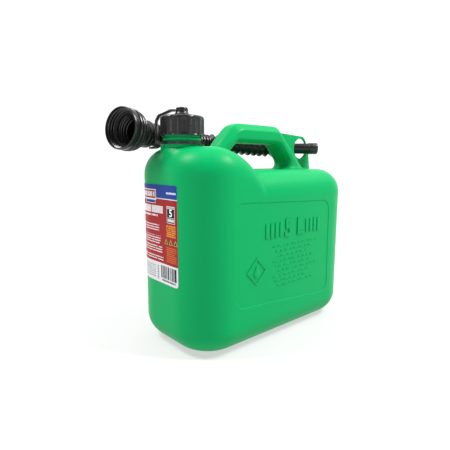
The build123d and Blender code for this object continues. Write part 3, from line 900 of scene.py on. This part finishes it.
# --- spout ------------------------------------------------------------------------------------------------
def make_bell():
    """The spout's mouth: a bell with rings inside and ridges outside, which narrows to the hose's spigot."""
    rings = []
    for depth in (10.2, 6.7, 3.2):
        rings += [(19.9, depth + 1.1), (18.8, depth + 0.45), (18.8, depth - 0.1), (19.9, depth - 0.8)]
    bell = turned("spout_mouth", (
        (7.1, 57.0), (7.1, 62.0), (5.9, 62.0), (5.9, 52.0), (9.4, 41.0), (12.6, 38.0), (12.6, 22.4),
        (13.4, 21.8), (13.4, 19.2), (14.3, 18.4), (14.3, 16.6), (15.2, 15.8), (15.2, 14.4), (15.9, 13.8),
        (15.9, 12.0), (19.9, 12.0), *rings, (19.9, 0.9), (20.2, 0.2), (20.7, 0.0), (21.2, 0.2), (21.5, 0.7),
        (21.5, 6.0), (21.2, 6.6), (20.2, 7.1), (20.1, 7.9), (21.6, 8.7), (21.9, 9.6), (21.6, 10.5),
        (20.1, 11.3), (19.9, 12.1), (21.2, 12.9), (21.5, 13.7), (21.1, 14.6), (19.2, 15.5), (19.0, 16.3),
        (20.2, 17.1), (20.4, 17.9), (19.9, 18.8), (17.6, 19.8), (17.2, 20.7), (18.2, 21.5), (18.1, 22.3),
        (16.2, 23.2), (14.8, 24.4), (14.0, 25.6), (14.0, 28.6), (14.6, 29.4), (14.6, 31.2), (14.0, 32.0),
        (14.0, 34.2), (14.6, 35.0), (14.6, 38.0), (14.2, 39.4), (13.2, 40.4), (11.6, 41.6), (11.2, 42.4),
        (11.2, 56.4), (10.8, 57.0), (7.1, 57.0)), 112, axes(BELL_MOUTH, BELL_AXIS, (0, 0, 1)))
    finished(bell, "spout", BLACK, ("spout_bell",), 35)


def hose_route():
    """The hose's end at the tip, and its route from the mouth past the neck and along the handle."""
    start, knee = BELL_MOUTH + BELL_AXIS * HOSE_START, BELL_MOUTH + BELL_AXIS * HOSE_KNEE
    lane = (KNEE_2 - knee).normalized()
    end = KNEE_2 + TIP_AXIS * (HOSE_BEND * tan(lane.angle(TIP_AXIS) / 2) + 5.0)
    return end, rounded_route((start, knee, KNEE_2, end), HOSE_BEND)


def make_hose():
    """A corrugated tube: close ribs after the mouth, wide sharp ribs under the handle."""
    _, (length, at) = hose_route()
    ribs, along = [(8.0, 0.0), (8.0, 1.2)], 1.2
    for _ in range(18):
        ribs += [(8.2, along + 0.5), (10.05, along + 1.5), (10.05, along + 2.3), (8.2, along + 3.3)]
        along += 3.8
    wide = int((length - along - 1.0) / 8.8)
    pitch = (length - along - 1.0) / wide
    for _ in range(wide):
        ribs += [(7.8, along + 0.4), (9.4, along + pitch * 0.27), (11.0, along + pitch * 0.46),
                 (11.2, along + pitch / 2), (11.0, along + pitch * 0.54), (9.4, along + pitch * 0.73),
                 (7.8, along + pitch - 0.4)]
        along += pitch
    inner = [(7.2, length * (1 - n / 24)) for n in range(25)]
    hose = turned("spout_tube", (*ribs, (8.0, length), *inner, (8.0, 0.0)), 40)
    follow(hose, at, Vector((0, 0, 1)))
    finished(hose, "spout", HOSE_BLACK, ("spout_hose",), 38)


def make_tip():
    """The straight tip, pushed into the hose's end and through the fin's hole."""
    end, _ = hose_route()
    start = end + TIP_AXIS * 0.2
    length = (HOLE_CENTRE + TIP_AXIS * TIP_BEYOND - start).length
    tip = turned("spout_nozzle", (
        (5.7, -5), (7.1, -5), (7.1, 0), (8.2, 0), (8.6, 0.4), (8.6, 3.5), (8.2, 4.0), (7.2, 4.4), (6.9, 5.0),
        (6.9, length - 12.4), (7.1, length - 12.0), (7.5, length - 11.6), (7.5, length - 1.2),
        (7.3, length - 0.5), (6.8, length), (6.2, length), (5.7, length - 0.5), (5.7, -5),
    ), 72, axes(start, TIP_AXIS, (0, 0, 1)))
    finished(tip, "spout", BLACK, ("spout_tip",), 35)


make_bell()
make_hose()
make_tip()


# --- studio -----------------------------------------------------------------------------------------------
LIGHTS = (  # name, place, aim, size and watts
    ("top_light", (-0.25, -0.05, 1.7), (0.0, 0.0, 0.1), 0.8, 3.0),
    ("side_light", (0.9, -0.9, 1.8), (0.0, 0.0, 0.12), 0.7, 58.0),
    ("front_light", (-0.9, 0.7, 1.8), (0.0, 0.0, 0.12), 0.6, 40.0),
    ("left_strip", (-0.9, -0.42, 0.34), (-0.1, 0.0, 0.22), 0.07, 0.32),
    ("right_strip", (0.15, -0.9, 0.36), (-0.1, 0.0, 0.22), 0.07, 0.32),
)
CAMERA_PLACE = Vector((-332.95, -335.15, 196.56)) * MM
CAMERA_HEADING = Vector((0.6512, 0.7417, -0.1606)).normalized()
CAMERA_ROLL, CAMERA_LENS = 0.171, 30.95


def lay_floor():
    """A flat, pale floor of plain paper that glows more the further it is from the object."""
    bpy.ops.mesh.primitive_plane_add(size=14.0, location=(0, 0, 0))
    floor = bpy.context.object
    floor.name = "studio_floor"
    finish, tree, shader, place = finish_of("studio_paper", specular=0.1)
    colour = place.noise(3.0, 2.0).tint((0.29, 0.29, 0.29), (0.31, 0.31, 0.31))
    plug_in(tree, shader, colour, 0.9 + 0.05 * place.noise(5.0))
    reach = place.node("ShaderNodeVectorMath", {"operation": "LENGTH"}, out=1, i0=place)
    far = reach.node("ShaderNodeMapRange", {"interpolation_type": "SMOOTHSTEP"},
                     Value=reach, From_Min=0.2, From_Max=1.8)
    glow = far.tint((0.55, 0.55, 0.55), (0.86, 0.86, 0.86))
    tree.links.new(glow.socket, shader.inputs["Emission Color"])
    shader.inputs["Emission Strength"].default_value = 1.0
    paint(floor, finish)


def fill_air():
    """White air that is bright behind the object and along the horizon, and dim behind the camera."""
    world = bpy.data.worlds.new("studio_air")
    bpy.context.scene.world = world
    world.use_nodes = True
    air = world.node_tree.nodes["Background"]
    air.inputs["Color"].default_value = (1.0, 1.0, 1.0, 1.0)
    way = Wire(world.node_tree, world.node_tree.nodes.new("ShaderNodeTexCoord").outputs["Generated"])
    facing = way.part(0) * 0.66 + way.part(1) * 0.75
    bright = facing.node("ShaderNodeMapRange", Value=facing,
                         From_Min=-0.1, From_Max=0.7, To_Min=0.24, To_Max=1.1)
    level = facing.node("ShaderNodeMapRange", Value=way.part(2),
                        From_Min=0.10, From_Max=0.42, To_Min=0.8, To_Max=0.2)
    world.node_tree.links.new(bright.high(level).socket, air.inputs["Strength"])


def hang_lights():
    for name, place, aim, size, power in LIGHTS:
        lamp = bpy.data.lights.new(name, "AREA")
        lamp.shape, lamp.size, lamp.energy = "SQUARE", size, power
        holder = bpy.data.objects.new(name, lamp)
        bpy.context.collection.objects.link(holder)
        holder.location = place
        holder.rotation_euler = (Vector(aim) - Vector(place)).to_track_quat("-Z", "Y").to_euler()


def set_camera():
    lens = bpy.data.cameras.new("camera")
    lens.sensor_width, lens.lens = 36.0, CAMERA_LENS
    lens.clip_start, lens.clip_end = 0.01, 50.0
    camera = bpy.data.objects.new("camera", lens)
    bpy.context.collection.objects.link(camera)
    level = CAMERA_HEADING.cross(Vector((0, 0, 1))).normalized()
    upward = level.cross(CAMERA_HEADING)
    roll = radians(CAMERA_ROLL)
    right = level * cos(roll) + upward * sin(roll)
    top = -level * sin(roll) + upward * cos(roll)
    facing = Matrix((right, top, -CAMERA_HEADING)).transposed().to_4x4()
    camera.matrix_world = Matrix.Translation(CAMERA_PLACE) @ facing
    bpy.context.scene.camera = camera


lay_floor()
fill_air()
hang_lights()
set_camera()
bpy.context.scene.view_settings.view_transform = "Standard"
